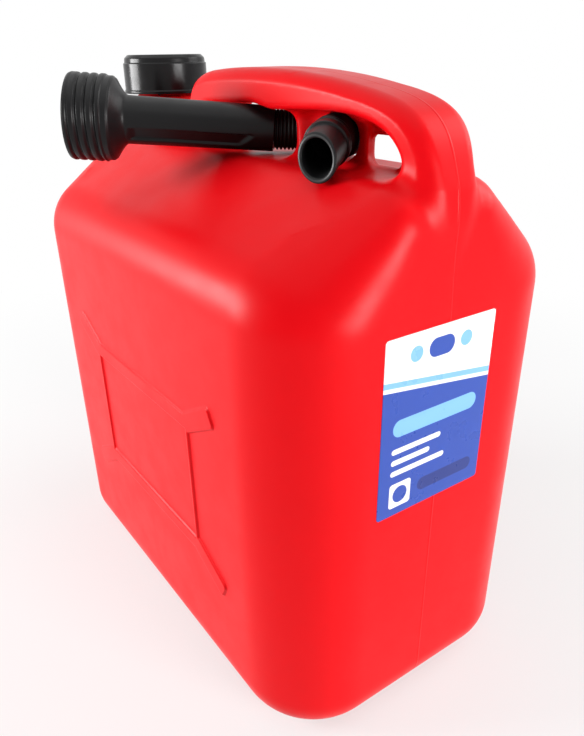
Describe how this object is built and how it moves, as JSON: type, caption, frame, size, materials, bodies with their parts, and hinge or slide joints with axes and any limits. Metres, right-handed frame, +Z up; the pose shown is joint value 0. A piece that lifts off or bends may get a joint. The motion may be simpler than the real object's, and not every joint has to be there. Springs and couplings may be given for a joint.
{
  "type": "plastic fuel can",
  "caption": "Red moulded fuel can with a carrying handle, a black screw cap and a black flexible pouring spout stored through the handle and round its pillar",
  "frame": {"origin": "middle of the base, on the plane that the can stands on", "axes": "+Z up; +X towards the end that carries the label, away from the cap; -Y towards the side from which the spout's collar sticks out"},
  "size_m": [0.3643, 0.2279, 0.399],
  "materials": {
    "tank_plastic": "satin moulded polyethylene, red",
    "cap_plastic": "smooth glossy black",
    "spout_plastic": "satin black",
    "gasket_rubber": "matt dark rubber",
    "label_film": "printed film, blue and white"
  },
  "bodies": {
    "tank": {"tank": "tank_plastic", "label": "label_film"},
    "gasket": {"cap_gasket": "gasket_rubber"},
    "cap": {"cap": "cap_plastic"},
    "spout": {"spout_tube": "spout_plastic", "spout_gasket": "gasket_rubber", "spout_bellows": "spout_plastic"},
    "nozzle": {"spout_nozzle": "spout_plastic"}
  },
  "joints": [
    {"name": "cap_lift", "type": "slide", "parent": "tank", "child": "gasket", "axis": [0, 0, 1], "range_m": [0, 0.0081]},
    {"name": "cap_turn", "type": "hinge", "parent": "gasket", "child": "cap", "pos_m": [-0.131, 0, 0.38], "axis": [0, 0, 1], "range_deg": [0, 720]},
    {"name": "spout_swing", "type": "hinge", "parent": "tank", "child": "spout", "pos_m": [0.0609, 0, 0.355], "axis": [0, 0, 1], "range_deg": [-3, 5], "stiffness_Nm_per_rad": 0.3, "deforming": ["spout_bellows"]},
    {"name": "nozzle_flex", "type": "hinge", "parent": "tank", "child": "nozzle", "pos_m": [0.0909, 0, 0.355], "axis": [0, 0, 1], "range_deg": [-12, 5], "stiffness_Nm_per_rad": 0.1, "deforming": ["spout_bellows"]}
  ],
  "couplings": [
    {"joint": "cap_lift", "follows": "cap_turn", "m_per_rad": 0.00063662}
  ]
}
